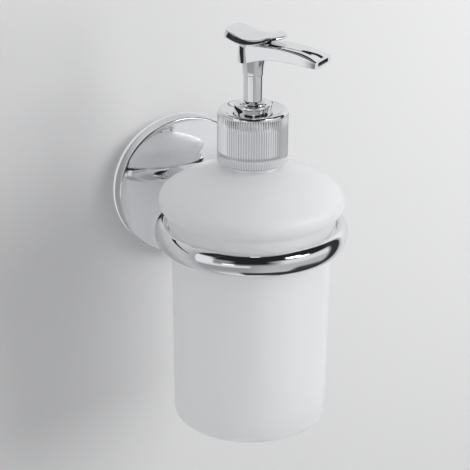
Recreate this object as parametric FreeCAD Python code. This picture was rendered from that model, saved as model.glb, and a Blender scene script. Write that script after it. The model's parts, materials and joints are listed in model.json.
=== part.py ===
"""Wall mounted soap dispenser: a chrome rosette and ring carry a frosted glass bottle with a lotion pump.

Frame: the wall is the plane Y = 0 and the object stands out towards -Y, +Z is up.
The origin is the centre of the rosette's back face. All lengths are in millimetres.
"""
import FreeCAD, Part
import math
import os

V = FreeCAD.Vector

# ---------------------------------------------------------------- driving dimensions
# wall bracket
REACH = 80.0                # wall to the bottle's axis
ROSETTE_R = 35.3
ROSETTE_RIM = 8.4           # depth of the rosette's straight side
ROSETTE_RISE = 4.5          # height of the dome beyond its edge
ROSETTE_WALL = 1.6
DOME_EDGE_R = 35.0
PLATE_R = 31.0
PLATE_T = 2.0
PLATE_RIM = 6.5
WALL_HOLE_R = 2.4
WALL_HOLE_SPACING = 40.0
GRUB_R = 2.0
GRUB_Y = 4.2                # grub screw's axis, out from the wall
ARM_SCREW_R = 2.5
RING_Z = 2.5                # ring's middle above the rosette's
RING_INNER_R = 37.7
RING_OUTER_R = 44.2
RING_HALF_H = 5.5

# bottle
BODY_TOP_R = 36.5
BODY_BASE_R = 35.7
BASE_Z = -89.8
BASE_CORNER_R = 4.0
GLASS_WALL = 3.2
BASE_T = 6.5
STEP_R = 38.3               # glass band between the ring and the shoulder
STEP_LOW_Z = 6.4
SHOULDER_LOW_Z = 12.2
SHOULDER_LOW_R = 38.8
SHOULDER_MAX_R = 42.4
SHOULDER_MAX_Z = 18.4
NECK_ROOT_Z = 34.2
NECK_TOP_Z = 54.0
NECK_R = 12.0
NECK_BORE_R = 9.8

# closure thread
PITCH = 25.4 / 6
THREAD_DEPTH = 0.85
THREAD_WIDTH = 1.7
THREAD_TURNS = 1.5
THREAD_Z = 43.0

# collar
LIP_Z = 34.6
LIP_R = 14.6
KNURL_Z0 = 36.7
KNURL_Z1 = 59.3
KNURL_R = 15.9
KNURL_DEPTH = 0.45
KNURL_COUNT = 90
COLLAR_TOP_Z = 60.7
SHELL_BORE_R = 14.1
CAP_BORE_R = 13.05
COLLAR_HOLE_R = 8.75

# pump
GUIDE_R = 8.45
GUIDE_TOP_Z = 63.4
GUIDE_FLANGE_R = 6.5
STEM_R = 4.4
STEM_TOP_Z = 83.6
STEM_FOOT_R = 3.55
STEM_BORE_R = 2.6
CYL_R = 9.2
CYL_BORE_R = 7.6
SEAL_R = 7.55
CYL_TOP_Z = 57.0
CYL_FLOOR_Z = 1.0
FOOT_Z = -16.0
TUBE_R = 2.6
TUBE_BORE_R = 1.8
TUBE_END_Z = -81.0
INLET_BALL_R = 2.3
OUTLET_BALL_R = 2.0
RUN_GAP = 0.05              # radial running clearance
PISTON_Z = 32.0
WIRE_R = 0.45
SPRING_R = 5.2
SPRING_TURNS = 9

# actuator head, measured along the spout from the stem's axis
SPOUT_TURN = 36.0           # degrees from straight out of the wall, towards +X
SPOUT_TIP = 33.4
SPOUT_TIP_HALF_W = 8.8
SOCKET_Z = 76.4
OUTLET_Z = 86.4
OUTLET_W = 10.4
OUTLET_H = 1.8
PASSAGE_Z = 87.6            # where the passage to the outlet leaves the stem's axis
PAD_SPREAD = 0.6             # how far the pad's bevel spreads below its rim, per millimetre of its thickness
PAD_DEPTH = 1.5              # how deep the pad's underside lies, in thicknesses of the bevel

AXIS = V(0, -REACH, 0)
UP = V(0, 0, 1)


# ---------------------------------------------------------------- helpers
def line(a, b):
    return Part.LineSegment(V(*a), V(*b)).toShape()


def arc(a, m, b):
    return Part.Arc(V(*a), V(*m), V(*b)).toShape()


def curve(points, start=None, end=None):
    """A smooth curve through points, with optional end directions."""
    spline = Part.BSplineCurve()
    if start and end:
        spline.interpolate([V(*p) for p in points], InitialTangent=V(*start), FinalTangent=V(*end))
    else:
        spline.interpolate([V(*p) for p in points])
    return spline.toShape()


def revolve_edges(edges):
    """Turn a closed outline in the XZ plane (X = radius) about the Z axis."""
    face = Part.Face(Part.Wire(Part.__sortEdges__(edges)))
    solid = face.revolve(V(0, 0, 0), UP, 360)
    return solid if solid.Volume > 0 else solid.reversed()


def revolve_points(points):
    """Turn a closed straight-sided outline of (radius, height) pairs about the Z axis."""
    wire = Part.makePolygon([V(r, 0, z) for r, z in points + points[:1]])
    solid = Part.Face(wire).revolve(V(0, 0, 0), UP, 360)
    return solid if solid.Volume > 0 else solid.reversed()


def tube(r_out, r_in, z0, z1):
    outer = Part.makeCylinder(r_out, z1 - z0, V(0, 0, z0))
    return outer.cut(Part.makeCylinder(r_in, z1 - z0 + 2, V(0, 0, z0 - 1)))


def cylinder(r, z0, z1):
    return Part.makeCylinder(r, z1 - z0, V(0, 0, z0))


def ball(r, z):
    return Part.makeSphere(r, V(0, 0, z))


def at_bottle(shape):
    """Move a shape made about the Z axis to the bottle's axis."""
    shape.translate(AXIS)
    return shape


def facing_out(shape):
    """Turn a shape made about +Z so that its +Z points out of the wall, to -Y."""
    shape.rotate(V(0, 0, 0), V(1, 0, 0), 90)
    return shape


def helix_ridge(radius, outward, z0, turns, overlap=0.25):
    """A triangular thread ridge that stands depth proud of a wall of the given radius."""
    side = 1 if outward else -1
    root = radius - side * overlap
    crest = radius + side * THREAD_DEPTH
    half = THREAD_WIDTH / 2
    path = Part.makeHelix(PITCH, PITCH * turns, radius)
    path.translate(V(0, 0, z0))
    outline = [V(root, 0, z0 - half), V(crest, 0, z0 - half * 0.35)]
    outline += [V(crest, 0, z0 + half * 0.35), V(root, 0, z0 + half)]
    section = Part.makePolygon(outline + outline[:1])
    pipe = Part.Wire(path).makePipeShell([section], True, True)
    return pipe if pipe.Volume > 0 else pipe.reversed()


# ---------------------------------------------------------------- wall bracket
def wall_plate():
    """A pressed cup that is screwed to the wall; the rosette slides over its rim."""
    cup = cylinder(PLATE_R, 0, PLATE_RIM)
    cup = cup.cut(cylinder(PLATE_R - 1.5, PLATE_T, PLATE_RIM + 1))
    for side in (-1, 1):
        hole = Part.makeCylinder(WALL_HOLE_R, PLATE_T + 2, V(0, side * WALL_HOLE_SPACING / 2, -1))
        cup = cup.cut(hole)
    return facing_out(cup)


def dome_profile(edge_r, edge_z, rise):
    """The dome's arc from its edge to the middle."""
    radius = (edge_r ** 2 + rise ** 2) / (2 * rise)
    centre_z = edge_z + rise - radius
    half = 0.5 * math.asin(edge_r / radius)
    middle = (radius * math.sin(half), 0, centre_z + radius * math.cos(half))
    return arc((edge_r, 0, edge_z), middle, (0, 0, edge_z + rise))


def rosette():
    """The domed cover shell, with a straight side, a crisp edge and holes for arm and grub screw."""
    inner_r = ROSETTE_R - ROSETTE_WALL
    inner_edge_z = ROSETTE_RIM - ROSETTE_WALL
    top = ROSETTE_RIM + ROSETTE_RISE
    edges = [
        line((inner_r, 0, 0), (ROSETTE_R - 0.25, 0, 0)),
        line((ROSETTE_R - 0.25, 0, 0), (ROSETTE_R, 0, 0.4)),
        line((ROSETTE_R, 0, 0.4), (ROSETTE_R, 0, ROSETTE_RIM - 0.3)),
        line((ROSETTE_R, 0, ROSETTE_RIM - 0.3), (DOME_EDGE_R, 0, ROSETTE_RIM)),
        dome_profile(DOME_EDGE_R, ROSETTE_RIM, ROSETTE_RISE),
        line((0, 0, top), (0, 0, top - ROSETTE_WALL)),
        dome_profile(inner_r, inner_edge_z, ROSETTE_RISE),
        line((inner_r, 0, inner_edge_z), (inner_r, 0, 0)),
    ]
    shell = revolve_edges(edges)
    shell = shell.cut(cylinder(ARM_SCREW_R + 0.5, top - 6, top + 2))
    shell = facing_out(shell)
    grub_hole = Part.makeCylinder(GRUB_R, 8, V(0, -GRUB_Y, -ROSETTE_R - 2), UP)
    return shell.cut(grub_hole)


def rosette_grub_screw():
    """A set screw with a hexagon socket, driven up from below against the plate's rim."""
    z_tip = -PLATE_R
    length = 4.6
    r = GRUB_R - 0.02
    screw = Part.makeCylinder(r, length - 0.6, V(0, -GRUB_Y, z_tip - length), UP)
    screw = screw.fuse(Part.makeCone(r, 1.2, 0.6, V(0, -GRUB_Y, z_tip - 0.6), UP))
    key_r = 1.15
    angles = [math.radians(60 * k) for k in range(7)]
    corners = [V(key_r * math.cos(a), key_r * math.sin(a), 0) for a in angles]
    socket = Part.Face(Part.makePolygon(corners)).extrude(V(0, 0, 2.2))
    socket.translate(V(0, -GRUB_Y, z_tip - length))
    return screw.cut(socket)


def oval_section(y, z, half_w, half_h):
    """An upright oval facing along Y, for the arm's loft."""
    centre = V(0, y, z)
    oval = Part.Ellipse(centre + V(half_w, 0, 0), centre + V(0, 0, half_h), centre)
    return Part.Wire(oval.toShape())


def arm():
    """A short cast neck from the rosette's crown, rising a little to the back of the ring."""
    root = -(ROSETTE_RIM + ROSETTE_RISE - 0.6)
    tip = -(REACH - RING_OUTER_R + 3.0)
    length = tip - root
    sections = [
        oval_section(root, 0.0, 11.5, 10.8),
        oval_section(root + 0.12 * length, 0.2, 9.6, 8.6),
        oval_section(root + 0.45 * length, 0.45 * RING_Z, 7.6, 6.0),
        oval_section(tip, RING_Z, 7.4, 4.9),
    ]
    neck = Part.makeLoft(sections, True, False)
    neck = neck.cut(ring_solid()).cut(rosette_outer())
    hole = Part.makeCylinder(ARM_SCREW_R, 11, V(0, root + 2, 0), V(0, -1, 0))
    return neck.cut(hole)


def rosette_outer():
    """The rosette's outer form without its hollow, for trimming the arm's foot."""
    top = ROSETTE_RIM + ROSETTE_RISE
    edges = [
        line((0, 0, 0), (DOME_EDGE_R, 0, 0)),
        line((DOME_EDGE_R, 0, 0), (DOME_EDGE_R, 0, ROSETTE_RIM)),
        dome_profile(DOME_EDGE_R, ROSETTE_RIM, ROSETTE_RISE),
        line((0, 0, top), (0, 0, 0)),
    ]
    return facing_out(revolve_edges(edges))


def arm_washer():
    inner_top = ROSETTE_RIM + ROSETTE_RISE - ROSETTE_WALL
    return facing_out(tube(7.0, ARM_SCREW_R + 0.2, inner_top - 2.1, inner_top - 0.6))


def arm_screw():
    """A pan head screw from inside the rosette into the arm."""
    head_top = ROSETTE_RIM + ROSETTE_RISE - ROSETTE_WALL - 2.1
    head = cylinder(5.2, head_top - 3.2, head_top)
    head = head.makeFillet(1.2, [e for e in head.Edges if e.BoundBox.ZMax < head_top - 3.1 and e.Length > 20])
    shank = cylinder(ARM_SCREW_R - 0.02, head_top, head_top + 10.0)
    slot = Part.makeBox(6, 1.2, 2.0, V(-3, -0.6, head_top - 3.3))
    cross_slot = Part.makeBox(1.2, 6, 2.0, V(-0.6, -3, head_top - 3.3))
    return facing_out(head.fuse(shank).cut(slot).cut(cross_slot))


def ring_solid():
    """A ring of oval section."""
    mid_r = (RING_INNER_R + RING_OUTER_R) / 2
    half_w = (RING_OUTER_R - RING_INNER_R) / 2
    centre = V(mid_r, 0, RING_Z)
    oval = Part.Ellipse(centre + V(0, 0, RING_HALF_H), centre + V(half_w, 0, 0), centre)
    face = Part.Face(Part.Wire(oval.toShape()))
    return at_bottle(face.revolve(V(0, 0, 0), UP, 360))


# ---------------------------------------------------------------- bottle
def shoulder_top():
    """The outside of the shoulder, from its widest point up and in to the neck's root."""
    return [
        (SHOULDER_MAX_R, 0, SHOULDER_MAX_Z),
        (39.2, 0, 23.0),
        (31.0, 0, 28.0),
        (23.0, 0, 31.5),
        (15.6, 0, NECK_ROOT_Z - 0.1),
    ]


def bottle():
    top = shoulder_top()
    body_z = STEP_LOW_Z - 3.6
    low = (BODY_BASE_R, 0, BASE_Z + BASE_CORNER_R)
    corner = BASE_CORNER_R * (1 - math.sqrt(0.5))
    corner_mid = (BODY_BASE_R - corner, 0, BASE_Z + corner)
    foot = (BODY_BASE_R - BASE_CORNER_R, 0, BASE_Z)
    edges = [
        line((0, 0, BASE_Z + 1.2), (24.0, 0, BASE_Z + 1.2)),
        line((24.0, 0, BASE_Z + 1.2), (27.0, 0, BASE_Z)),
        line((27.0, 0, BASE_Z), foot),
        arc(foot, corner_mid, low),
        line(low, (BODY_TOP_R, 0, body_z)),
        arc((BODY_TOP_R, 0, body_z), (BODY_TOP_R + 0.55, 0, STEP_LOW_Z - 1.4), (STEP_R, 0, STEP_LOW_Z)),
        line((STEP_R, 0, STEP_LOW_Z), (STEP_R, 0, SHOULDER_LOW_Z - 0.4)),
        line((STEP_R, 0, SHOULDER_LOW_Z - 0.4), (SHOULDER_LOW_R, 0, SHOULDER_LOW_Z)),
        arc((SHOULDER_LOW_R, 0, SHOULDER_LOW_Z), (SHOULDER_MAX_R - 0.75, 0, SHOULDER_MAX_Z - 3.6), top[0]),
        curve(top, start=(0, 0, 1.0), end=(-1.0, 0, 0.3)),
        line(top[-1], (NECK_R + 0.6, 0, NECK_ROOT_Z)),
        line((NECK_R + 0.6, 0, NECK_ROOT_Z), (NECK_R, 0, NECK_ROOT_Z + 1.2)),
        line((NECK_R, 0, NECK_ROOT_Z + 1.2), (NECK_R, 0, NECK_TOP_Z - 0.5)),
        line((NECK_R, 0, NECK_TOP_Z - 0.5), (NECK_R - 0.5, 0, NECK_TOP_Z)),
        line((NECK_R - 0.5, 0, NECK_TOP_Z), (0, 0, NECK_TOP_Z)),
        line((0, 0, NECK_TOP_Z), (0, 0, BASE_Z + 1.2)),
    ]
    glass = revolve_edges(edges)
    glass = glass.cut(bottle_cavity())
    glass = glass.fuse(helix_ridge(NECK_R, True, THREAD_Z, THREAD_TURNS))
    return at_bottle(glass)


def bottle_cavity():
    """The space inside the glass, up through the neck."""
    r_low = BODY_BASE_R - GLASS_WALL
    r_top = BODY_TOP_R - GLASS_WALL
    floor_z = BASE_Z + BASE_T
    round_r = 6.0
    shoulder = [
        (r_top + 0.6, 0, SHOULDER_LOW_Z - 2.0),
        (SHOULDER_MAX_R - GLASS_WALL - 0.5, 0, SHOULDER_MAX_Z - 0.5),
        (33.6, 0, 22.9),
        (24.0, 0, 27.4),
        (NECK_BORE_R + 3.2, 0, 30.9),
        (NECK_BORE_R, 0, 33.5),
    ]
    bend = round_r * (1 - math.sqrt(0.5))
    edges = [
        line((0, 0, floor_z), (r_low - round_r, 0, floor_z)),
        arc((r_low - round_r, 0, floor_z), (r_low - bend, 0, floor_z + bend), (r_low, 0, floor_z + round_r)),
        line((r_low, 0, floor_z + round_r), (r_top, 0, STEP_LOW_Z)),
        curve([(r_top, 0, STEP_LOW_Z)] + shoulder),
        line(shoulder[-1], (NECK_BORE_R, 0, NECK_TOP_Z + 1)),
        line((NECK_BORE_R, 0, NECK_TOP_Z + 1), (0, 0, NECK_TOP_Z + 1)),
        line((0, 0, NECK_TOP_Z + 1), (0, 0, floor_z)),
    ]
    return revolve_edges(edges)


# ---------------------------------------------------------------- closure
def knurl_band():
    """A band of fine upright ribs."""
    step = 2 * math.pi / KNURL_COUNT
    crest = KNURL_R
    valley = KNURL_R - KNURL_DEPTH
    points = []
    for k in range(KNURL_COUNT):
        for share, radius in ((-0.32, valley), (-0.14, crest), (0.14, crest), (0.32, valley)):
            angle = (k + share) * step
            points.append(V(radius * math.cos(angle), radius * math.sin(angle), KNURL_Z0))
    star = Part.Face(Part.makePolygon(points + points[:1]))
    return star.extrude(V(0, 0, KNURL_Z1 - KNURL_Z0))


def collar_shell():
    """The knurled shell with a smooth lip below and a rounded, dished top."""
    rim_r = KNURL_R - 0.1
    bead = 0.9
    edges = [
        line((SHELL_BORE_R, 0, LIP_Z), (LIP_R, 0, LIP_Z)),
        line((LIP_R, 0, LIP_Z), (LIP_R, 0, KNURL_Z0)),
        line((LIP_R, 0, KNURL_Z0), (KNURL_R - 0.6, 0, KNURL_Z0)),
        line((KNURL_R - 0.6, 0, KNURL_Z0), (KNURL_R - 0.6, 0, KNURL_Z1)),
        line((KNURL_R - 0.6, 0, KNURL_Z1), (rim_r, 0, KNURL_Z1)),
        arc((rim_r, 0, KNURL_Z1), (rim_r - 0.3 * bead, 0, COLLAR_TOP_Z - 0.4), (rim_r - 1.6, 0, COLLAR_TOP_Z)),
        curve([(rim_r - 1.6, 0, COLLAR_TOP_Z), (12.4, 0, COLLAR_TOP_Z - 0.9), (COLLAR_HOLE_R + 0.4, 0, 59.2)]),
        line((COLLAR_HOLE_R + 0.4, 0, 59.2), (COLLAR_HOLE_R, 0, 58.9)),
        line((COLLAR_HOLE_R, 0, 58.9), (COLLAR_HOLE_R, 0, 58.3)),
        line((COLLAR_HOLE_R, 0, 58.3), (SHELL_BORE_R, 0, 58.3)),
        line((SHELL_BORE_R, 0, 58.3), (SHELL_BORE_R, 0, LIP_Z)),
    ]
    shell = revolve_edges(edges)
    band = knurl_band().cut(cylinder(KNURL_R - 0.9, KNURL_Z0 - 1, KNURL_Z1 + 1))
    return at_bottle(shell.fuse(band))


def collar_cap():
    """The threaded closure inside the shell; its top clamps the pump's flange."""
    cup = tube(SHELL_BORE_R, CAP_BORE_R, LIP_Z + 0.3, 58.3)
    disc = tube(SHELL_BORE_R, COLLAR_HOLE_R, CYL_TOP_Z + 0.1, 58.3)
    cup = cup.fuse(disc).removeSplitter()
    ridge = helix_ridge(CAP_BORE_R, False, THREAD_Z + PITCH / 2, THREAD_TURNS)
    return at_bottle(cup.fuse(ridge))


# ---------------------------------------------------------------- pump, fixed part
def neck_gasket():
    return at_bottle(tube(NECK_R - 0.3, CYL_R, NECK_TOP_Z + 0.1, CYL_TOP_Z - 1.9))


def pump_cylinder():
    """The cylinder hangs in the neck by its flange; its foot holds the inlet valve."""
    outline = [
        (CYL_BORE_R, CYL_TOP_Z), (11.2, CYL_TOP_Z), (11.2, CYL_TOP_Z - 1.9), (CYL_R, CYL_TOP_Z - 1.9),
        (CYL_R, CYL_FLOOR_Z + 1.5), (6.2, CYL_FLOOR_Z - 4.0), (5.2, CYL_FLOOR_Z - 6.0), (5.2, FOOT_Z),
        (3.4, FOOT_Z), (3.4, CYL_FLOOR_Z - 2.5), (2.0, CYL_FLOOR_Z - 2.5), (2.0, CYL_FLOOR_Z),
        (CYL_BORE_R, CYL_FLOOR_Z),
    ]
    return at_bottle(revolve_points(outline))


def stem_guide():
    """The boss on top of the collar; its plug sits in the cylinder and guides the stem."""
    bore = STEM_R + RUN_GAP
    outline = [
        (bore, 46.0), (6.6, 46.0), (CYL_BORE_R, 47.0), (CYL_BORE_R, CYL_TOP_Z), (GUIDE_R, CYL_TOP_Z),
        (GUIDE_R, GUIDE_TOP_Z - 0.4), (GUIDE_R - 0.4, GUIDE_TOP_Z), (GUIDE_FLANGE_R, GUIDE_TOP_Z),
        (GUIDE_FLANGE_R, GUIDE_TOP_Z + 0.6), (GUIDE_FLANGE_R - 0.25, GUIDE_TOP_Z + 0.9),
        (GUIDE_FLANGE_R - 0.7, GUIDE_TOP_Z + 0.9), (bore, GUIDE_TOP_Z - 0.1),
    ]
    return at_bottle(revolve_points(outline))


def inlet_seat():
    """A sleeve in the cylinder's foot: valve cone above, socket for the dip tube below."""
    outline = [
        (TUBE_R, FOOT_Z), (3.4, FOOT_Z), (3.4, -5.5), (2.6, -5.5), (1.5, -7.0), (1.5, -8.5), (TUBE_R, -8.5),
    ]
    return at_bottle(revolve_points(outline))


def inlet_ball():
    return at_bottle(ball(INLET_BALL_R, -5.05))


def dip_tube():
    """The suction tube, cut at a slant at its foot."""
    pipe = tube(TUBE_R, TUBE_BORE_R, TUBE_END_Z, -8.5)
    wedge = Part.makeBox(20, 20, 10, V(-10, -10, -10))
    wedge.rotate(V(0, 0, 0), V(0, 1, 0), 30)
    wedge.translate(V(-TUBE_R, 0, TUBE_END_Z + 0.2))
    return at_bottle(pipe.cut(wedge))


def return_spring():
    """A compression spring between the cylinder's floor and the piston."""
    low = CYL_FLOOR_Z + WIRE_R + 0.1
    high = PISTON_Z - WIRE_R - 0.15
    path = Part.makeHelix((high - low) / SPRING_TURNS, high - low, SPRING_R)
    section = Part.Wire(Part.Circle(V(SPRING_R, 0, 0), V(0, 1, 0), WIRE_R).toShape())
    coil = Part.Wire(path).makePipeShell([section], True, True)
    if coil.Volume < 0:
        coil = coil.reversed()
    coil.translate(V(0, 0, low))
    return at_bottle(coil)


# ---------------------------------------------------------------- pump, moving part
def piston():
    """The piston's hub turns on the stem's foot and carries the seal in a groove."""
    bore = STEM_FOOT_R + RUN_GAP
    outline = [
        (bore, PISTON_Z), (6.4, PISTON_Z), (6.4, PISTON_Z + 1.5), (7.2, PISTON_Z + 2.0),
        (7.2, PISTON_Z + 3.5), (6.2, PISTON_Z + 3.5), (6.2, PISTON_Z + 7.5), (7.2, PISTON_Z + 7.5),
        (7.2, PISTON_Z + 9.0), (5.2, PISTON_Z + 9.5), (bore, PISTON_Z + 9.5),
    ]
    return at_bottle(revolve_points(outline))


def piston_seal():
    """A ring with an upper and a lower lip that wipe the cylinder's bore."""
    z0 = PISTON_Z + 3.5
    outline = [
        (6.2, z0), (7.2, z0), (SEAL_R, z0 + 0.1), (SEAL_R, z0 + 0.7), (7.0, z0 + 1.3),
        (7.0, z0 + 2.7), (SEAL_R, z0 + 3.3), (SEAL_R, z0 + 3.9), (7.2, z0 + 4.0), (6.2, z0 + 4.0),
    ]
    return at_bottle(revolve_points(outline))


def stem():
    """The chrome tube from the piston up to the head, with the outlet valve's chamber."""
    foot_top = PISTON_Z + 9.5 + RUN_GAP
    outline = [
        (STEM_BORE_R, PISTON_Z + 0.5), (STEM_FOOT_R, PISTON_Z + 0.5), (STEM_FOOT_R, foot_top),
        (STEM_R, foot_top), (STEM_R, STEM_TOP_Z), (1.6, STEM_TOP_Z), (1.6, 57.5), (STEM_BORE_R, 57.0),
    ]
    return at_bottle(revolve_points(outline))


def outlet_seat():
    outline = [(1.3, 48.0), (STEM_BORE_R, 48.0), (STEM_BORE_R, 52.0), (2.3, 52.0), (1.3, 50.6)]
    return at_bottle(revolve_points(outline))


def outlet_ball():
    return at_bottle(ball(OUTLET_BALL_R, 52.3))


def head_frame(shape):
    """Turn a shape made with the spout along +X to the spout's real direction, on the bottle's axis."""
    shape.rotate(V(0, 0, 0), UP, SPOUT_TURN - 90)
    return at_bottle(shape)


def spout_section(x, half_w, z_edge, shoulder_w, z_shoulder, z_crown, belly):
    """One cross-section of the spout: leaning flanks, rolled shoulders and a bowed underside."""
    flat_w = 0.5 * shoulder_w
    z_flat = z_crown - 0.1
    roll_w = flat_w + 0.71 * (shoulder_w - flat_w)
    z_roll = z_shoulder + 0.71 * (z_flat - z_shoulder)
    edges = []
    for side in (1, -1):
        edge = (x, side * half_w, z_edge)
        shoulder = (x, side * shoulder_w, z_shoulder)
        flat = (x, side * flat_w, z_flat)
        flank = Part.makeLine(V(*edge), V(*shoulder))
        roll = arc(shoulder, (x, side * roll_w, z_roll), flat)
        edges.append((flank, roll))
    top = arc((x, flat_w, z_flat), (x, 0, z_crown), (x, -flat_w, z_flat))
    under = arc((x, -half_w, z_edge), (x, 0, z_edge - belly), (x, half_w, z_edge))
    (flank, roll), (far_flank, far_roll) = edges
    return Part.Wire([flank, roll, top, far_roll, far_flank, under])


def spout_body():
    sections = [
        spout_section(-6.0, 2.6, 83.4, 2.3, 89.0, 91.0, 0.2),
        spout_section(-5.6, 4.2, 83.0, 3.8, 89.4, 91.6, 0.3),
        spout_section(-4.4, 5.7, 82.6, 5.2, 89.6, 92.0, 0.3),
        spout_section(-2.0, 6.7, 82.7, 6.0, 89.6, 92.2, 0.4),
        spout_section(2.0, 7.1, 83.8, 6.3, 90.0, 92.3, 0.5),
        spout_section(8.0, 7.3, 85.5, 6.4, 90.6, 92.3, 0.6),
        spout_section(15.0, 7.6, 86.2, 6.5, 90.8, 92.2, 0.8),
        spout_section(23.0, 8.0, 86.2, 6.9, 90.0, 91.5, 1.0),
        spout_section(28.5, 8.4, 85.8, 7.3, 88.8, 90.3, 1.1),
        spout_section(SPOUT_TIP, SPOUT_TIP_HALF_W, 85.5, 7.9, 87.6, 88.6, 1.2),
    ]
    body = Part.makeLoft(sections, True, False)
    return body if body.Volume > 0 else body.reversed()


def pad_section(x, half_w, z_rim, thickness):
    """One cross-section of the finger pad: a flat top and a bevel that spreads below the rim."""
    wide_w = half_w + PAD_SPREAD * thickness
    wide_z = z_rim - thickness
    low_w = 0.8 * half_w
    low_z = z_rim - PAD_DEPTH * thickness
    near_side = [V(x, half_w, z_rim), V(x, wide_w, wide_z), V(x, low_w, low_z)]
    far_side = [V(x, -low_w, low_z), V(x, -wide_w, wide_z), V(x, -half_w, z_rim)]
    return Part.makePolygon(near_side + far_side + near_side[:1])


def pad():
    """The dished, leaf-shaped finger rest, from its tail over the stem to its front."""
    sections = [
        pad_section(-11.6, 2.4, 97.0, 1.8),
        pad_section(-11.2, 4.6, 96.9, 2.0),
        pad_section(-10.2, 6.6, 96.7, 2.2),
        pad_section(-8.6, 7.8, 96.3, 2.3),
        pad_section(-5.2, 8.2, 95.0, 2.3),
        pad_section(-1.4, 8.2, 93.95, 2.2),
        pad_section(2.6, 8.0, 93.9, 2.0),
        pad_section(6.6, 7.6, 94.5, 1.6),
        pad_section(9.6, 6.9, 95.4, 1.2),
        pad_section(12.2, 5.6, 95.65, 1.1),
        pad_section(14.3, 3.4, 95.75, 1.0),
        pad_section(15.7, 1.0, 95.8, 0.8),
    ]
    plate = Part.makeLoft(sections, True, False)
    return plate if plate.Volume > 0 else plate.reversed()


def slot_prism(length, height, x0, x1, z):
    """A flat-oval prism along the spout."""
    r = height / 2
    half = length / 2 - r
    edges = [
        line((x0, -half, z - r), (x0, half, z - r)),
        arc((x0, half, z - r), (x0, half + r, z), (x0, half, z + r)),
        line((x0, half, z + r), (x0, -half, z + r)),
        arc((x0, -half, z + r), (x0, -half - r, z), (x0, -half, z - r)),
    ]
    return Part.Face(Part.Wire(edges)).extrude(V(x1 - x0, 0, 0))


def actuator_head():
    """Finger pad, spout and stem socket in one moulding, with the passage to the outlet."""
    body = spout_body().fuse(pad())
    cone = Part.makeCone(4.75, 6.0, 85.0 - SOCKET_Z, V(0, 0, SOCKET_Z))
    body = body.fuse(cone)
    body = body.cut(cylinder(STEM_R, SOCKET_Z - 1, STEM_TOP_Z))
    body = body.cut(cylinder(1.6, STEM_TOP_Z - 1, 88.2))
    fall = (PASSAGE_Z - OUTLET_Z) / SPOUT_TIP
    channel = Part.makeCylinder(1.1, SPOUT_TIP - 4, V(0, 0, PASSAGE_Z), V(1, 0, -fall))
    body = body.cut(channel)
    body = body.cut(slot_prism(OUTLET_W, OUTLET_H, SPOUT_TIP - 6, SPOUT_TIP + 2, OUTLET_Z))
    return head_frame(body)


def nozzle_insert():
    wall = 0.5
    insert = slot_prism(OUTLET_W, OUTLET_H, SPOUT_TIP - 6, SPOUT_TIP - 0.4, OUTLET_Z)
    bore_w = OUTLET_W - 2 * wall
    bore_h = OUTLET_H - 2 * wall
    insert = insert.cut(slot_prism(bore_w, bore_h, SPOUT_TIP - 7, SPOUT_TIP + 1, OUTLET_Z))
    return head_frame(insert)


# ---------------------------------------------------------------- output
NODES = {
    "wall_plate": wall_plate,
    "rosette": rosette,
    "rosette_grub_screw": rosette_grub_screw,
    "arm": arm,
    "arm_screw": arm_screw,
    "arm_washer": arm_washer,
    "holder_ring": ring_solid,
    "bottle": bottle,
    "collar_shell": collar_shell,
    "collar_cap": collar_cap,
    "neck_gasket": neck_gasket,
    "pump_cylinder": pump_cylinder,
    "stem_guide": stem_guide,
    "inlet_seat": inlet_seat,
    "inlet_ball": inlet_ball,
    "dip_tube": dip_tube,
    "return_spring": return_spring,
    "piston": piston,
    "piston_seal": piston_seal,
    "stem": stem,
    "outlet_seat": outlet_seat,
    "outlet_ball": outlet_ball,
    "actuator_head": actuator_head,
    "nozzle_insert": nozzle_insert,
}


def main():
    os.makedirs("parts", exist_ok=True)
    for name, make in NODES.items():
        shape = make()
        print(name, "valid" if shape.isValid() else "INVALID", len(shape.Solids), round(shape.Volume, 1))
        shape.exportStep("parts/" + name + ".step")


main()
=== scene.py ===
import json
import math

import bmesh
import bpy
from mathutils import Matrix, Vector

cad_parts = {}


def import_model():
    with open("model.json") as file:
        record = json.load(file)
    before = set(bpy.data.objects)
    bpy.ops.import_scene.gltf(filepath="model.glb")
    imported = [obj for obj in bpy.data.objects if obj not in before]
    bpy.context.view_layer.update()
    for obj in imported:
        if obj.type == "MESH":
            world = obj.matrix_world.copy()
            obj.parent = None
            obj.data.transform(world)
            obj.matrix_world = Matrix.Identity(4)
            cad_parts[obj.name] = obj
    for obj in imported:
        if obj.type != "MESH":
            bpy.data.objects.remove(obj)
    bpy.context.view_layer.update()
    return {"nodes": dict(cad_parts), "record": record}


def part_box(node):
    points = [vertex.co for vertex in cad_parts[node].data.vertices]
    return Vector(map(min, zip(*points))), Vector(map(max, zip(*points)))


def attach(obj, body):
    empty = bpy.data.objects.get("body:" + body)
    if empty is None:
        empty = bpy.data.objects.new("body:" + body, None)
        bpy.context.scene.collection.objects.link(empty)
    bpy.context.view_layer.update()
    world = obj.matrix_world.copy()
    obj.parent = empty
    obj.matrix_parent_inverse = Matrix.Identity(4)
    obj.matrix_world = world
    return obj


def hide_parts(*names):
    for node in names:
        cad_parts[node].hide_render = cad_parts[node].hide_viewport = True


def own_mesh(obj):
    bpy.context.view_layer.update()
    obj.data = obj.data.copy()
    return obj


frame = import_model()

# ------------------------------------------------------------------ places taken from the frame
RING_LOW, RING_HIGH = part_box("holder_ring")
BOTTLE_LOW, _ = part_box("bottle")
ROSETTE_LOW, ROSETTE_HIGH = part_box("rosette")
COLLAR_LOW, COLLAR_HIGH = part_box("collar_shell")
GUIDE_LOW, GUIDE_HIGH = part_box("stem_guide")
STEM_LOW, STEM_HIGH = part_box("stem")
HEAD_LOW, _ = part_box("actuator_head")
GRUB_LOW, GRUB_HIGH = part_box("rosette_grub_screw")
NOZZLE_LOW, NOZZLE_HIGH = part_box("nozzle_insert")
SPRING_LOW, SPRING_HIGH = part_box("return_spring")

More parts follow.
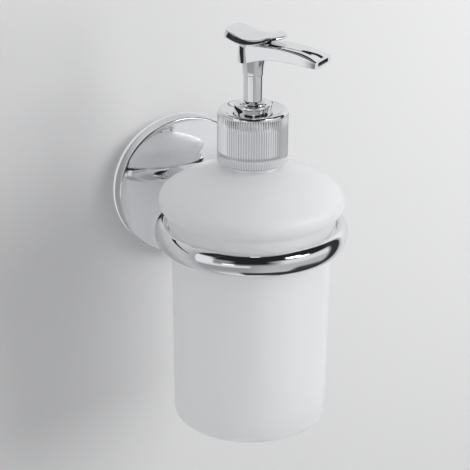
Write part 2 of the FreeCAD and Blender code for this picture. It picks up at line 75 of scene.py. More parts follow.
RING_MID = (RING_LOW + RING_HIGH) / 2
AXIS = Vector((RING_MID.x, RING_MID.y, 0.0))        # the bottle's axis at the rosette's height
RING_R = (RING_HIGH.x - RING_LOW.x) / 2
RING_HALF_H = (RING_HIGH.z - RING_LOW.z) / 2
COLLAR_R = (COLLAR_HIGH.x - COLLAR_LOW.x) / 2
ROSETTE_R = ROSETTE_HIGH.x
DOME_TOP = -ROSETTE_LOW.y
UP = Vector((0, 0, 1))
OUT = Vector((0, -1, 0))
SPOUT = Vector((NOZZLE_LOW.x + NOZZLE_HIGH.x, NOZZLE_LOW.y + NOZZLE_HIGH.y, 0)) / 2 - AXIS
SPOUT.normalize()                                   # the way the spout points
SIDE = UP.cross(SPOUT)

MM = 0.001
RING_THICK = 6.5 * MM
ROSETTE_RIM = 8.4 * MM          # depth of the rosette's straight side
ROSETTE_WALL = 1.6 * MM
GRUB_GAP = 0.02 * MM
RIBS = 85
RIB_DEPTH = 0.45 * MM
SPRING_TURNS = 9
SPRING_WIRE_R = 0.45 * MM
FINE = 320                      # segments round the large polished and glass parts
HEAD_CREASE = 28.0              # the head's edges above this angle, in degrees, stay sharp


# ------------------------------------------------------------------ mesh helpers
def fillet(points, closed=True, steps=5):
    """Round an outline's corners. Each point is (r, z, fillet radius)."""
    out = []
    n = len(points)
    for i, (x, y, r) in enumerate(points):
        if r <= 0 or (not closed and i in (0, n - 1)):
            out.append((x, y))
            continue
        here = Vector((x, y))
        a = Vector(points[i - 1][:2]) - here
        b = Vector(points[(i + 1) % n][:2]) - here
        reach = r / math.tan(a.angle(b) / 2)
        cut = min(reach, a.length * 0.49, b.length * 0.49)
        start = here + a.normalized() * cut
        end = here + b.normalized() * cut
        for k in range(steps + 1):
            t = k / steps
            p = start * (1 - t) ** 2 + here * 2 * t * (1 - t) + end * t ** 2
            out.append((p.x, p.y))
    return out


def smooth(points, steps=8):
    """A Catmull-Rom curve through points of any size, as a list of tuples."""
    pts = [Vector(p) for p in points]
    pts = [pts[0] * 2 - pts[1]] + pts + [pts[-1] * 2 - pts[-2]]
    out = []
    for i in range(1, len(pts) - 2):
        p0, p1, p2, p3 = pts[i - 1:i + 3]
        for k in range(steps):
            t = k / steps
            p = 0.5 * ((2 * p1) + (p2 - p0) * t + (2 * p0 - 5 * p1 + 4 * p2 - p3) * t * t
                       + (3 * p1 - p0 - 3 * p2 + p3) * t ** 3)
            out.append(tuple(p))
    out.append(tuple(pts[-2]))
    return out


def scaled(points, base=0.0):
    """Millimetre (r, height) pairs to metres, with the heights counted from base."""
    return [(p[0] * MM, base + p[1] * MM) + tuple(v * MM for v in p[2:]) for p in points]


def mesh_object(name, verts, faces, sharp=40.0):
    """A smooth-shaded object whose edges above the angle sharp, in degrees, stay crisp."""
    mesh = bpy.data.meshes.new(name)
    mesh.from_pydata(verts, [], faces)
    mesh.validate()
    bm = bmesh.new()
    bm.from_mesh(mesh)
    bmesh.ops.remove_doubles(bm, verts=bm.verts, dist=1e-7)
    bmesh.ops.recalc_face_normals(bm, faces=bm.faces)
    bm.to_mesh(mesh)
    bm.free()
    mesh.shade_smooth()
    mesh.set_sharp_from_angle(angle=math.radians(sharp))
    obj = bpy.data.objects.new(name, mesh)
    bpy.context.scene.collection.objects.link(obj)
    return obj


def lathe(name, outline, origin=AXIS, direction=UP, segments=256, ripple=None, sharp=40.0):
    """Turn a closed outline of (r, z) about an axis. ripple(r, z, angle) may change the radius."""
    turn = UP.rotation_difference(direction).to_matrix()
    verts = []
    n = len(outline)
    for k in range(segments):
        angle = 2 * math.pi * k / segments
        for r, z in outline:
            radius = ripple(r, z, angle) if ripple else r
            verts.append(origin + turn @ Vector((radius * math.cos(angle), radius * math.sin(angle), z)))
    faces = []
    for k in range(segments):
        a = k * n
        b = ((k + 1) % segments) * n
        for i in range(n):
            j = (i + 1) % n
            if max(outline[i][0], outline[j][0]) > 1e-6:
                faces.append((a + i, b + i, b + j, a + j))
    return mesh_object(name, verts, faces, sharp)


def loft(name, rings, sharp=40.0):
    """Skin closed rings of the same length and cap both ends."""
    n = len(rings[0])
    verts = [p for ring in rings for p in ring]
    faces = [tuple(range(n)), tuple(range(len(verts) - n, len(verts)))]
    for k in range(len(rings) - 1):
        a = k * n
        faces += [(a + i, a + (i + 1) % n, a + n + (i + 1) % n, a + n + i) for i in range(n)]
    return mesh_object(name, verts, faces, sharp)


def combine(base, other, operation, sharp=40.0):
    """Join or cut one closed mesh with another and keep only the result."""
    mod = base.modifiers.new("combine", "BOOLEAN")
    mod.operation = operation
    mod.solver = "EXACT"
    mod.object = other
    graph = bpy.context.evaluated_depsgraph_get()
    mesh = bpy.data.meshes.new_from_object(base.evaluated_get(graph))
    base.modifiers.clear()
    base.data = mesh
    bpy.data.objects.remove(other)
    mesh.shade_smooth()
    mesh.set_sharp_from_angle(angle=math.radians(sharp))
    return base


def even(obj):
    """Steady the shading where small faces lie beside large ones."""
    mod = obj.modifiers.new("even_normals", "WEIGHTED_NORMAL")
    mod.keep_sharp = True
    mod.weight = 80
    return obj


def dress(obj, body, material, slot, *nodes):
    """Give a piece its material, the body it rides on and the CAD nodes that it stands for."""
    obj.data.materials.clear()
    obj.data.materials.append(material)
    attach(obj, body)
    if nodes:
        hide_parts(*nodes)
    return obj


# ------------------------------------------------------------------ materials
SCATTER_SHARE = 0.3             # how much of the frosted glass scatters light through


class Nodes:
    """A small wrapper for building one node material."""

    def __init__(self, name):
        self.mat = bpy.data.materials.new(name)
        self.mat.use_nodes = True
        self.tree = self.mat.node_tree
        self.tree.nodes.clear()
        self.out = self.add("ShaderNodeOutputMaterial")
        self.shader = self.add("ShaderNodeBsdfPrincipled")
        self.link(self.shader.outputs[0], self.out.inputs["Surface"])
        self.coord = self.add("ShaderNodeTexCoord").outputs["Object"]

    def add(self, kind, **settings):
        node = self.tree.nodes.new(kind)
        for key, value in settings.items():
            setattr(node, key, value)
        return node

    def link(self, a, b):
        self.tree.links.new(a, b)

    def noise(self, scale, detail=3.0, stretch=(1, 1, 1), rough=0.5):
        mapping = self.add("ShaderNodeMapping")
        mapping.inputs["Scale"].default_value = stretch
        self.link(self.coord, mapping.inputs["Vector"])
        tex = self.add("ShaderNodeTexNoise")
        tex.inputs["Scale"].default_value = scale
        tex.inputs["Detail"].default_value = detail
        tex.inputs["Roughness"].default_value = rough
        self.link(mapping.outputs[0], tex.inputs["Vector"])
        return tex.outputs["Fac"]

    def ramp(self, source, low, high, at=(0.3, 0.7)):
        node = self.add("ShaderNodeMapRange")
        node.inputs["From Min"].default_value = at[0]
        node.inputs["From Max"].default_value = at[1]
        node.inputs["To Min"].default_value = low
        node.inputs["To Max"].default_value = high
        self.link(source, node.inputs["Value"])
        return node.outputs[0]

    def tint(self, source, dark, light):
        node = self.add("ShaderNodeMix", data_type="RGBA")
        node.inputs[6].default_value = (*dark, 1)
        node.inputs[7].default_value = (*light, 1)
        self.link(source, node.inputs[0])
        return node.outputs[2]

    def bump(self, source, strength, distance):
        node = self.add("ShaderNodeBump")
        node.inputs["Strength"].default_value = strength
        node.inputs["Distance"].default_value = distance
        self.link(source, node.inputs["Height"])
        return node.outputs[0]

    def set(self, **values):
        for key, value in values.items():
            self.shader.inputs[key.replace("_", " ")].default_value = value


def chrome(name, rough=0.03, smear=0.05):
    """Polished plate with a faint haze; smear is how much rougher the handled spots are."""
    m = Nodes(name)
    m.set(Metallic=1.0)
    cloud = m.ramp(m.noise(38.0, 4.0), 0, 1)
    m.link(m.tint(cloud, (0.80, 0.81, 0.83), (0.86, 0.865, 0.875)), m.shader.inputs["Base Color"])
    fine = m.noise(160.0, 5.0, rough=0.65)
    m.link(m.ramp(fine, rough, rough + smear, (0.35, 0.85)), m.shader.inputs["Roughness"])
    m.link(m.bump(m.noise(60.0, 2.0), 0.04, 0.0002), m.shader.inputs["Normal"])
    return m.mat


def frosted_glass():
    """Etched glass: a rough transparent skin, with a share that scatters light straight through, and a faint
    painted glow that brightens it.
    """
    m = Nodes("frosted_glass")
    # The faint bluish-white emission set here is a painted glow. It brightens the glass evenly, as if more
    # light came through it, though the glass is no lamp.
    m.set(Transmission_Weight=0.6, IOR=1.45, Emission_Strength=0.05, Specular_IOR_Level=0.25)
    m.shader.inputs["Emission Color"].default_value = (0.97, 0.98, 1.0, 1)
    cloud = m.ramp(m.noise(22.0, 3.0), 0, 1)
    m.link(m.tint(cloud, (0.97, 0.973, 0.98), (0.99, 0.99, 0.993)), m.shader.inputs["Base Color"])
    m.link(m.ramp(m.noise(300.0, 4.0), 0.34, 0.42), m.shader.inputs["Roughness"])
    m.link(m.bump(m.noise(2600.0, 2.0), 0.12, 0.00005), m.shader.inputs["Normal"])
    glow = m.add("ShaderNodeBsdfTranslucent")
    glow.inputs["Color"].default_value = (0.99, 0.993, 0.997, 1)
    blend = m.add("ShaderNodeMixShader")
    blend.inputs[0].default_value = SCATTER_SHARE
    m.link(m.shader.outputs[0], blend.inputs[1])
    m.link(glow.outputs[0], blend.inputs[2])
    m.link(blend.outputs[0], m.out.inputs["Surface"])
    return m.mat


def moulded(name, dark, light, rough, transmission=0.0):
    """Moulded plastic or rubber with a fine, slightly uneven skin."""
    m = Nodes(name)
    m.link(m.tint(m.ramp(m.noise(90.0, 3.0), 0, 1), dark, light), m.shader.inputs["Base Color"])
    m.link(m.ramp(m.noise(220.0, 4.0), rough - 0.06, rough + 0.08), m.shader.inputs["Roughness"])
    m.link(m.bump(m.noise(900.0, 3.0), 0.08, 0.00005), m.shader.inputs["Normal"])
    m.set(Transmission_Weight=transmission)
    return m.mat


def drawn_steel(name, dark, light, rough):
    """Bare or zinc-plated steel with upright draw marks."""
    m = Nodes(name)
    m.set(Metallic=1.0)
    streak = m.noise(420.0, 4.0, stretch=(1, 1, 0.06))
    m.link(m.tint(m.ramp(streak, 0, 1), dark, light), m.shader.inputs["Base Color"])
    m.link(m.ramp(m.noise(60.0, 5.0), rough - 0.08, rough + 0.12), m.shader.inputs["Roughness"])
    m.link(m.bump(streak, 0.1, 0.00005), m.shader.inputs["Normal"])
    return m.mat


CHROME = chrome("chrome")
GLASS = frosted_glass()
WHITE = moulded("white_plastic", (0.82, 0.82, 0.80), (0.90, 0.90, 0.88), 0.42)
TUBE = moulded("tube_plastic", (0.80, 0.81, 0.81), (0.88, 0.89, 0.89), 0.35, 0.3)
DARK = moulded("dark_plastic", (0.012, 0.012, 0.014), (0.03, 0.03, 0.033), 0.4)
SEAL = moulded("seal_rubber", (0.55, 0.55, 0.53), (0.68, 0.68, 0.66), 0.6)
STEEL = drawn_steel("steel", (0.50, 0.50, 0.51), (0.66, 0.66, 0.67), 0.3)
ZINC = drawn_steel("zinc_steel", (0.52, 0.53, 0.54), (0.68, 0.69, 0.70), 0.38)
BY_SLOT = {"chrome": CHROME, "frosted_glass": GLASS, "white_plastic": WHITE, "tube_plastic": TUBE,
           "dark_plastic": DARK, "seal": SEAL, "steel": STEEL, "zinc_steel": ZINC}


def dress_cad_nodes():
    """Give every CAD node the material of its slot; some are replaced by finer pieces below."""
    for part in frame["record"]["subparts"]:
        obj = frame["nodes"][part["node"]]
        obj.data.materials.clear()
        obj.data.materials.append(BY_SLOT[part["material_slot"]])


# ------------------------------------------------------------------ wall bracket
def dome_arc(edge_r, edge_z, rise, steps=40):
    """Points of a spherical cap from its edge to its middle."""
    radius = (edge_r ** 2 + rise ** 2) / (2 * rise)
    half = math.asin(edge_r / radius)
    centre_z = edge_z + rise - radius
    angles = [half * (1 - k / steps) for k in range(steps + 1)]
    return [(radius * math.sin(a), centre_z + radius * math.cos(a)) for a in angles]


def rosette_shell():
    """The domed cover, hollow behind, with the hole for its grub screw."""
    rise = DOME_TOP - ROSETTE_RIM
    inner_r = ROSETTE_R - ROSETTE_WALL
    outer = dome_arc(ROSETTE_R, ROSETTE_RIM, rise)[3:]
    inner = dome_arc(inner_r, ROSETTE_RIM - ROSETTE_WALL, rise)
    rim = fillet([(inner_r, 0, 0), (ROSETTE_R, 0, 0.4 * MM), (ROSETTE_R, ROSETTE_RIM, 0.9 * MM),
                  (*outer[0], 0)], closed=False)
    outline = rim[:-1] + outer + inner[::-1]
    shell = lathe("rosette_shell", outline, Vector((0, 0, 0)), OUT, FINE, sharp=30)
    grub_mid = (GRUB_LOW + GRUB_HIGH) / 2
    hole_r = (GRUB_HIGH.x - GRUB_LOW.x) / 2 + GRUB_GAP
    hole = [(0, -6 * MM), (hole_r, -6 * MM), (hole_r, 4 * MM), (0, 4 * MM)]
    combine(shell, lathe("hole", hole, grub_mid, UP, 48), "DIFFERENCE", 30)
    return dress(shell, "bracket", CHROME, "chrome", "rosette")


def arm_neck():
    """The cast neck between the dome and the ring, an oval that narrows and then spreads again."""
    start = DOME_TOP - 2.4 * MM
    end = -RING_HIGH.y + RING_THICK * 0.5
    # share of the way out, share of the climb, half width and half height
    stations = [
        (0.0, 0.0, 13.0, 12.4), (0.06, 0.01, 11.6, 10.9), (0.15, 0.06, 10.0, 9.1), (0.32, 0.25, 8.3, 7.0),
        (0.55, 0.6, 7.5, 5.7), (0.8, 0.9, 7.4, 5.0), (1.0, 1.0, 7.8, 4.8),
    ]
    sides = 96
    rings = []
    for t, climb, half_w, half_h in smooth(stations, 6):
        y = -(start + t * (end - start))
        z = RING_MID.z * climb
        angles = [2 * math.pi * k / sides for k in range(sides)]
        rings.append([Vector((half_w * MM * math.cos(a), y, z + half_h * MM * math.sin(a))) for a in angles])
    return dress(loft("arm_neck", rings), "bracket", CHROME, "chrome", "arm")


def ring():
    """The oval-section ring that the bottle hangs in."""
    steps = 72
    mid = RING_R - RING_THICK / 2
    angles = [2 * math.pi * k / steps for k in range(steps)]
    outline = [(mid + RING_THICK / 2 * math.cos(a), RING_MID.z + RING_HALF_H * math.sin(a)) for a in angles]
    return dress(lathe("ring", outline, segments=FINE), "bracket", CHROME, "chrome", "holder_ring")


# ------------------------------------------------------------------ bottle
def arc(centre, radius, start, end, steps=8):
    """Points of an arc between two angles in degrees."""
    angles = [math.radians(start + (end - start) * k / steps) for k in range(steps + 1)]
    return [(centre[0] + radius * math.cos(a), centre[1] + radius * math.sin(a)) for a in angles]


def bottle_glass():
    """Thick frosted glass: a foot ring, a slightly tapered body, a seat, a band and a domed shoulder."""
    foot = [(24.0, 1.2), (27.0, 0.05), (31.7, 0.0)] + arc((31.7, 4.0), 4.0, -84, 0)
    body = [(35.85, 20.0), (36.1, 50.0), (36.4, 78.0), (36.5, 92.6)]
    seat = [(36.62, 94.2), (37.0, 95.1), (37.75, 95.8), (38.15, 96.2), (38.3, 96.9)]
    band = [(38.3, 98.5), (38.3, 100.6), (38.35, 101.3), (38.6, 101.9)]
    lip = [(39.3, 102.5), (40.4, 103.3), (41.5, 104.6), (42.2, 106.2), (42.4, 108.2)]
    dome = [(42.1, 109.8), (41.1, 111.4), (39.2, 113.0), (35.6, 115.3), (31.0, 117.8), (23.0, 121.1),
            (15.4, 123.9)]
    neck = [(12.9, 124.3), (12.2, 124.9), (12.0, 126.0), (12.0, 143.0), (11.5, 143.8)]
    outer = [(0.0, 1.2)] + foot + body + seat + band[:3] + smooth([band[3]] + lip + dome, 5) + neck
    floor = [(0.0, 6.5), (20.0, 6.5)] + smooth([(26.6, 6.6), (29.6, 7.5), (31.6, 9.6), (32.5, 12.8)], 4)
    wall = [(32.7, 30.0), (33.0, 60.0), (33.3, 95.0)]
    hollow = smooth([(33.5, 97.5), (34.6, 101.6), (38.0, 106.5), (38.3, 109.0), (33.6, 112.8), (24.0, 117.3),
                     (13.0, 120.8), (9.9, 123.6)], 6)
    inner = floor + wall + hollow + [(9.8, 126.0), (9.8, 143.4), (10.2, 143.8)]
    outline = scaled(outer + inner[::-1], BOTTLE_LOW.z)
    glass = lathe("bottle_glass", outline, segments=FINE, sharp=50)
    return dress(glass, "bottle", GLASS, "frosted_glass", "bottle")


# ------------------------------------------------------------------ pump
def ribbed_collar():
    """The plated collar: a plain lip, a band of fine ribs and a rounded, dished top."""
    r = COLLAR_R / MM
    top = (COLLAR_HIGH.z - COLLAR_LOW.z) / MM
    rib_low, rib_high = 2.1, top - 1.9
    lip_r = r - 1.3
    outside = fillet([(14.1, 0.0, 0.15), (lip_r, 0.0, 0.35), (lip_r, rib_low - 0.1, 0.1),
                      (r - 0.45, rib_low, 0.12), (r, rib_low + 0.35, 0.1)], closed=False, steps=3)
    band = [(r, rib_low + 0.35 + (rib_high - rib_low - 0.7) * k / 4) for k in range(1, 5)]
    crown = [(r - 0.35, rib_high + 0.1), (r - 0.37, rib_high + 0.6), (r - 0.5, top - 0.7),
             (r - 0.9, top - 0.2), (r - 1.5, top), (r - 2.2, top - 0.2), (r - 3.2, top - 0.8),
             (r - 4.6, top - 1.6), (9.6, top - 2.2), (9.0, top - 2.45), (8.75, top - 2.6)]
    inside = [(8.75, 23.6), (14.1, 23.6)]
    outline = scaled(outside + band + smooth(crown, 3) + inside, COLLAR_LOW.z)
    low = COLLAR_LOW.z + rib_low * MM
    high = COLLAR_LOW.z + rib_high * MM

    def ribs(radius, z, angle):
        """Flat-topped ribs with rounded grooves between them."""
        if radius < COLLAR_R - 0.5 * MM or not low - 1e-6 < z < high + 1e-6:
            return radius
        wave = abs((angle * RIBS / (2 * math.pi)) % 1.0 - 0.5) * 2
        return radius - RIB_DEPTH * min(1.0, max(0.0, 1.35 * wave - 0.25)) ** 1.2

    shell = lathe("collar_ribs", outline, segments=RIBS * 12, ripple=ribs, sharp=60)
    return dress(shell, "collar", CHROME, "chrome", "collar_shell")


def guide_boss():
    """The boss on the collar that the stem slides through, with its raised flange."""
    top = (GUIDE_HIGH.z - GUIDE_LOW.z) / MM
    shelf = top - 0.9
    points = [(4.45, 0.0, 0.1), (6.6, 0.0, 0.2), (7.6, 1.0, 0.2), (7.6, 11.0, 0.0), (8.45, 11.0, 0.1),
              (8.45, shelf, 0.45), (6.7, shelf - 0.15, 0.2), (6.5, top - 0.35, 0.2), (6.1, top, 0.2),
              (5.6, top - 0.15, 0.2), (4.9, top - 0.9, 0.2), (4.45, top - 1.1, 0.1)]
    boss = lathe("guide_boss", fillet(scaled(points, GUIDE_LOW.z)), sharp=50)
    return dress(boss, "pump", CHROME, "chrome", "stem_guide")


def stem_tube():
    """The stem, stepped to a thinner foot that the piston turns on."""
    length = (STEM_HIGH.z - STEM_LOW.z) / MM
    foot = 9.05
    points = [(2.6, 0.0, 0.1), (3.55, 0.0, 0.1), (3.55, foot, 0.05), (4.4, foot, 0.1), (4.4, length, 0.1),
              (1.6, length, 0.1), (1.6, 25.0, 0.1), (2.6, 24.5, 0.1)]
    tube = lathe("stem_tube", fillet(scaled(points, STEM_LOW.z)), sharp=50)
    return dress(tube, "head", CHROME, "chrome", "stem")


def return_coil():
    """The spring under the piston. Its end turns lie closer."""
    middle = (SPRING_HIGH.z - SPRING_LOW.z) / 2 - SPRING_WIRE_R
    centre = Vector((AXIS.x, AXIS.y, (SPRING_LOW.z + SPRING_HIGH.z) / 2))
    coil_r = (SPRING_HIGH.x - SPRING_LOW.x) / 2 - SPRING_WIRE_R
    steps = 44 * SPRING_TURNS
    angles = [2 * math.pi * i / 12 for i in range(12)]
    line = []
    for k in range(steps + 1):
        t = k / steps
        angle = 2 * math.pi * SPRING_TURNS * t
        rise = 2 * t - 1 - 0.45 * math.sin(2 * math.pi * t) / math.pi
        line.append(centre + Vector((coil_r * math.cos(angle), coil_r * math.sin(angle), middle * rise)))
    rings = []
    for k, point in enumerate(line):
        along = (line[min(k + 1, steps)] - line[max(k - 1, 0)]).normalized()
        outward = (point - centre) * Vector((1, 1, 0))
        outward.normalize()
        across = along.cross(outward)
        rings.append([point + (outward * math.cos(a) + across * math.sin(a)) * SPRING_WIRE_R for a in angles])
    coil = dress(loft("return_coil", rings), "pump", STEEL, "steel", "return_spring")
    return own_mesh(coil)


def head_point(u, v, z):
    """A place on the head: u along the spout, v to its side, z above the head's foot, in millimetres."""
    return AXIS + SPOUT * (u * MM) + SIDE * (v * MM) + UP * (HEAD_LOW.z + z * MM)


def spout_ring(u, half_w, low, crown, shoulder_v, shoulder_z, belly):
    """One section of the spout: sharp lower edges, leaning flanks, a rolled shoulder, a bowed underside."""
    steps = 12
    camber = 0.12
    flat_v = 0.5 * shoulder_v
    flank = [(half_w + (shoulder_v - half_w) * t, low + (shoulder_z - low) * t)
             for t in (0.0, 0.25, 0.5, 0.75)]
    angles = [math.pi / 2 * k / steps for k in range(steps + 1)]
    roll = [(flat_v + (shoulder_v - flat_v) * math.cos(a),
             shoulder_z + (crown - camber - shoulder_z) * math.sin(a)) for a in angles]
    top = [(flat_v * (1 - t), crown - camber * (1 - t) ** 2) for t in (0.25, 0.5, 0.75, 1.0)]
    under = [(half_w * math.cos(a), low - belly * math.sin(a)) for a in angles[1:]]
    right = under[::-1] + flank + roll + top
    left = [(-v, z) for v, z in right[::-1]][1:-1]
    return [head_point(u, v, z) for v, z in right + left]


def spout_mesh():
    """The spout and the block that it grows from, lofted along the spout."""
    # u, half width, lower edge, crown, shoulder's half width, shoulder's height, belly
    stations = [
        (-6.0, 2.6, 7.0, 14.6, 2.3, 12.6, 0.2), (-5.6, 4.2, 6.6, 15.2, 3.8, 13.0, 0.3),
        (-4.4, 5.7, 6.2, 15.6, 5.2, 13.2, 0.3), (-2.0, 6.7, 6.3, 15.8, 6.0, 13.2, 0.4),
        (2.0, 7.1, 7.4, 15.9, 6.3, 13.6, 0.5), (8.0, 7.3, 9.1, 15.9, 6.4, 14.2, 0.6),
        (15.0, 7.6, 9.8, 15.8, 6.5, 14.4, 0.8), (23.0, 8.0, 9.8, 15.1, 6.9, 13.6, 1.0),
        (28.5, 8.4, 9.4, 13.9, 7.3, 12.4, 1.1), (33.4, 8.8, 9.1, 12.2, 7.9, 11.2, 1.2),
    ]
    rings = [spout_ring(*station) for station in smooth(stations, 5)]
    return loft("actuator_body", rings, sharp=HEAD_CREASE)


def pad_mesh():
    """The leaf-shaped finger pad: a dished top, a crisp rim, a bevel that spreads below it, a thin edge."""
    # u, half width, height of the rim, thickness
    stations = [
        (-11.6, 2.4, 20.6, 1.8), (-11.2, 4.6, 20.5, 2.0), (-10.2, 6.6, 20.3, 2.2), (-8.6, 7.8, 19.9, 2.3),
        (-5.2, 8.2, 18.6, 2.3), (-1.4, 8.2, 17.55, 2.2), (2.6, 8.0, 17.5, 2.0), (6.6, 7.6, 18.1, 1.6),
        (9.6, 6.9, 19.0, 1.2), (12.2, 5.6, 19.25, 1.1), (14.3, 3.4, 19.35, 1.0), (15.7, 1.0, 19.4, 0.8),
    ]
    profiles = smooth(stations, 5)
    rings = []
    for k, (u, half_w, rim, thick) in enumerate(profiles):
        before = profiles[max(k - 1, 0)]
        after = profiles[min(k + 1, len(profiles) - 1)]
        slope = (after[2] - before[2]) / (after[0] - before[0])
        dish = 0.0012 * half_w ** 2
        top = [(half_w * j / 8, rim - dish * (1 - (j / 8) ** 2)) for j in range(-8, 9)]
        bevel = [(half_w + 0.25, rim - 0.12), (half_w + 0.25 + 0.3 * thick, rim - 0.45 * thick),
                 (half_w + 0.2 + 0.5 * thick, rim - 0.9 * thick), (half_w + 0.1 + 0.5 * thick, rim - thick)]
        low_w = 0.8 * half_w
        under = [(low_w * j / 4, rim - 1.5 * thick + 0.1 * (j / 4) ** 2) for j in range(4, -5, -1)]
        profile = top + bevel + under + [(-v, z) for v, z in bevel[::-1]]
        rings.append([head_point(u + (rim - z) * slope * 0.8, v, z) for v, z in profile])
    return loft("pad", rings, sharp=HEAD_CREASE)


def socket_mesh():
    """The flared socket under the spout that the stem is pressed into."""
    outer = [(4.6, 0.0), (4.75, 0.15), (4.8, 1.5), (4.95, 3.2), (5.25, 5.0), (5.7, 7.0), (6.0, 8.6)]
    outline = [(4.4, 0.0)] + smooth(outer, 4) + [(6.0, 10.0), (0.0, 10.0), (0.0, 7.2), (4.4, 7.2)]
    return lathe("socket", scaled(outline, HEAD_LOW.z), segments=128, sharp=50)


def nozzle_pocket():
    """The flat-oval pocket in the spout's end face."""
    half = 4.3
    r = 0.9
    z = 10.0
    sides = arc((half, z), r, -90, 90, 12) + arc((-half, z), r, 90, 270, 12)
    rings = [[head_point(u, v, height) for v, height in sides] for u in (27.4, 36.0)]
    return loft("pocket", rings)


def actuator_head():
    """The head as one casting: spout, finger pad and socket, with the outlet's pocket cut in."""
    body = spout_mesh()
    combine(body, pad_mesh(), "UNION", HEAD_CREASE)
    combine(body, socket_mesh(), "UNION", HEAD_CREASE)
    combine(body, nozzle_pocket(), "DIFFERENCE", HEAD_CREASE)
    return dress(even(body), "head", CHROME, "chrome", "actuator_head")


# ------------------------------------------------------------------ camera, room and light
CAMERA_TURN = (-26.62, 22.24, -0.45)    # azimuth, elevation and roll, in degrees
CAMERA_DISTANCE = 0.7056
CAMERA_LENS = 120.4
AIM_RISE = 0.0367                       # the point aimed at: up the bottle's axis,
AIM_RIGHT = -0.0075                     # then to the right and upwards in the view
AIM_UP = -0.03402
WALL_Y = 0.4 * MM
FLAG_Y = -0.6 * MM
WALL_CLOSE = 3.0 * MM                   # the wall lets light past to surfaces nearer than this
FLOOR_DROP = 0.9                        # floor below the bottle's base
ROOM_SIZE = 1.6                         # half width of the wall and the floor
PAINT_ROUGHNESS = 0.8


def camera():
    azimuth, elevation, roll = (math.radians(a) for a in CAMERA_TURN)
    back = Vector((math.sin(azimuth) * math.cos(elevation), -math.cos(azimuth) * math.cos(elevation),
                   math.sin(elevation)))
    right = Vector((math.cos(azimuth), math.sin(azimuth), 0))
    up = back.cross(right)
    target = AXIS + UP * AIM_RISE + right * AIM_RIGHT + up * AIM_UP
    x = right * math.cos(roll) - up * math.sin(roll)
    y = right * math.sin(roll) + up * math.cos(roll)
    place = Matrix((x, y, back)).transposed().to_4x4()
    place.translation = target + back * CAMERA_DISTANCE
    cam = bpy.data.cameras.new("camera")
    cam.sensor_width = 36.0
    cam.lens = CAMERA_LENS
    cam.clip_start = 0.01
    obj = bpy.data.objects.new("camera", cam)
    bpy.context.scene.collection.objects.link(obj)
    obj.matrix_world = place
    bpy.context.scene.camera = obj


def area_light(name, place, target, size, power):
    """A soft light that the polished parts don't mirror."""
    data = bpy.data.lights.new(name, "AREA")
    data.shape = "RECTANGLE"
    data.size, data.size_y = size
    data.energy = power
    obj = bpy.data.objects.new(name, data)
    bpy.context.scene.collection.objects.link(obj)
    obj.location = place
    obj.rotation_euler = (Vector(target) - Vector(place)).to_track_quat("-Z", "Y").to_euler()
    obj.visible_glossy = False
    return obj


def plane(name, corners, grey):
    """A flat painted face of the room, given by its corners."""
    mesh = bpy.data.meshes.new(name)
    mesh.from_pydata(corners, [], [tuple(range(len(corners)))])
    obj = bpy.data.objects.new(name, mesh)
    bpy.context.scene.collection.objects.link(obj)
    m = Nodes(name + "_paint")
    m.set(Roughness=PAINT_ROUGHNESS)
    shade = m.tint(m.ramp(m.noise(3.0, 2.0), 0, 1), (grey,) * 3, (grey * 1.02,) * 3)
    m.link(shade, m.shader.inputs["Base Color"])
    mesh.materials.append(m.mat)
    return obj, m


def wall():
    """The pale wall, open from behind and at the rosette's back, so that views from there see the part."""
    size, y = ROOM_SIZE, WALL_Y
    corners = [(-size, y, -size), (size, y, -size), (size, y, size), (-size, y, size)]
    obj, m = plane("wall", corners, 0.80)
    see_through = m.add("ShaderNodeBsdfTransparent")
    side = m.add("ShaderNodeNewGeometry").outputs["Backfacing"]
    close = m.add("ShaderNodeMath")
    close.operation = "LESS_THAN"
    m.link(m.add("ShaderNodeLightPath").outputs["Ray Length"], close.inputs[0])
    close.inputs[1].default_value = WALL_CLOSE
    either = m.add("ShaderNodeMath")
    either.operation = "MAXIMUM"
    m.link(side, either.inputs[0])
    m.link(close.outputs[0], either.inputs[1])
    mix = m.add("ShaderNodeMixShader")
    m.link(either.outputs[0], mix.inputs[0])
    m.link(m.shader.outputs[0], mix.inputs[1])
    m.link(see_through.outputs[0], mix.inputs[2])
    m.link(mix.outputs[0], m.out.inputs["Surface"])
    return obj


def floor():
    """The pale floor, far below the part."""
    size, z = ROOM_SIZE, BOTTLE_LOW.z - FLOOR_DROP
    obj, _ = plane("floor", [(-size, -size, z), (size, -size, z), (size, size, z), (-size, size, z)], 0.75)
    obj.visible_glossy = False
    return obj


# What the polished parts reflect: azimuth, elevation, half width, half height and softness in degrees, and
# brightness. Azimuth 0 is straight out of the wall and positive to the right. Later patches lie over earlier.
ROOM_GREY = 0.82
WORLD_FILL = 0.52               # the even light that everything else sees
ROOM_PATCHES = [
    (25, -30, 62, 20, 8, 0.52),
    (-62, -26, 44, 34, 18, 0.36),
    (-34, 0, 40, 12, 9, 0.30),
    (-70, -17, 42, 5.5, 2.5, 0.78),
    (-87, 2, 16, 17.5, 2, 0.86),
    (0, 90, 400, 22, 6, 0.42),
    (12, 39, 84, 27, 5, 0.02),
    (-84, 45, 16, 22, 4, 0.03),
    (-27, 10, 22, 15, 6, 0.02),
    (88, -6, 14, 40, 5, 0.04),
    (70, -48, 38, 14, 7, 0.05),
    (30, -66, 75, 13, 6, 0.04),
    (25, 24, 9, 5, 2.5, 6.0),
    (37, 17, 7, 3.5, 2.5, 3.5),
    (-20, 62, 9, 2.5, 2, 2.0),
    (-53, -9, 7, 2.5, 2, 1.6),
]


def reflector(name, *corners):
    """A dark flag beside the wall, given by its corners as x and z, that only the polished parts see."""
    obj, _ = plane(name, [(x, FLAG_Y, z) for x, z in corners], 0.01)
    obj.visible_camera = False
    obj.visible_diffuse = False
    obj.visible_transmission = False
    obj.visible_shadow = False


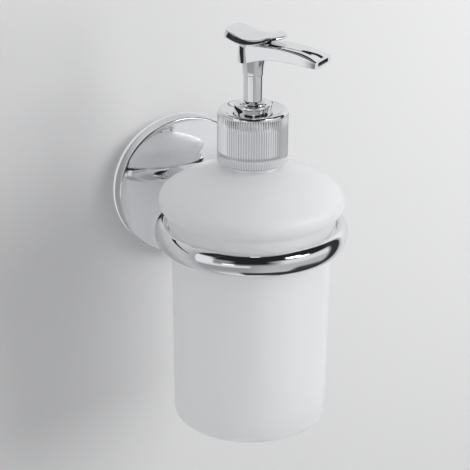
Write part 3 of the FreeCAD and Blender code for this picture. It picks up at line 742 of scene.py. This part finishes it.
def world():
    """Even light for diffuse surfaces, and the room's patches for rays off polished ones."""
    scene_world = bpy.data.worlds.new("studio")
    bpy.context.scene.world = scene_world
    scene_world.use_nodes = True
    tree = scene_world.node_tree
    background = tree.nodes["Background"]

    def math_node(operation, a, b=0.0):
        node = tree.nodes.new("ShaderNodeMath")
        node.operation = operation
        for socket, value in zip(node.inputs, (a, b)):
            if isinstance(value, (int, float)):
                socket.default_value = value
            else:
                tree.links.new(value, socket)
        return node.outputs[0]

    def window(angle, middle, half, soft):
        """1 within half of middle, 0 outside, in degrees, with a soft edge."""
        away = math_node("ABSOLUTE", math_node("SUBTRACT", angle, math.radians(middle)))
        node = tree.nodes.new("ShaderNodeMapRange")
        node.interpolation_type = "SMOOTHSTEP"
        node.inputs["From Min"].default_value = math.radians(half - soft)
        node.inputs["From Max"].default_value = math.radians(half + soft)
        node.inputs["To Min"].default_value = 1.0
        node.inputs["To Max"].default_value = 0.0
        tree.links.new(away, node.inputs["Value"])
        return node.outputs[0]

    direction = tree.nodes.new("ShaderNodeTexCoord").outputs["Generated"]
    split = tree.nodes.new("ShaderNodeSeparateXYZ")
    tree.links.new(direction, split.inputs[0])
    x, y, z = split.outputs
    azimuth = math_node("ARCTAN2", x, math_node("MULTIPLY", y, -1.0))
    elevation = math_node("ARCSINE", z)
    level = ROOM_GREY
    for middle, height, half_w, half_h, soft, grey in ROOM_PATCHES:
        mask = math_node("MULTIPLY", window(azimuth, middle, half_w, soft),
                         window(elevation, height, half_h, soft))
        level = math_node("ADD", math_node("MULTIPLY", level, math_node("SUBTRACT", 1.0, mask)),
                          math_node("MULTIPLY", mask, grey))
    paths = tree.nodes.new("ShaderNodeLightPath")
    glossy = paths.outputs["Is Glossy Ray"]
    plain = math_node("MULTIPLY", math_node("SUBTRACT", 1.0, glossy), WORLD_FILL)
    strength = math_node("ADD", math_node("MULTIPLY", level, glossy), plain)
    tree.links.new(strength, background.inputs["Strength"])
    background.inputs["Color"].default_value = (0.98, 0.985, 1.0, 1)


# ------------------------------------------------------------------ build
bpy.context.scene.view_settings.view_transform = "Standard"

dress_cad_nodes()
camera()
rosette_shell()
arm_neck()
ring()
bottle_glass()
ribbed_collar()
guide_boss()
stem_tube()
return_coil()
actuator_head()
world()
wall()
floor()
reflector("flag_left", (-0.50, 0.010), (-0.228, 0.044), (-0.08, 0.066), (-0.08, 0.086), (-0.228, 0.066),
          (-0.50, 0.034))
reflector("flag_above", (0.045, 0.155), (0.16, 0.167), (0.16, 0.185), (0.045, 0.169))
reflector("flag_high", (-0.10, 0.150), (0.045, 0.155), (0.045, 0.169), (-0.01, 0.25), (0.22, 0.38),
          (0.22, 1.5), (-0.10, 1.5))
area_light("key", (0.50, -0.58, 0.28), (0, -0.03, 0.0), (0.45, 0.45), 3.9)
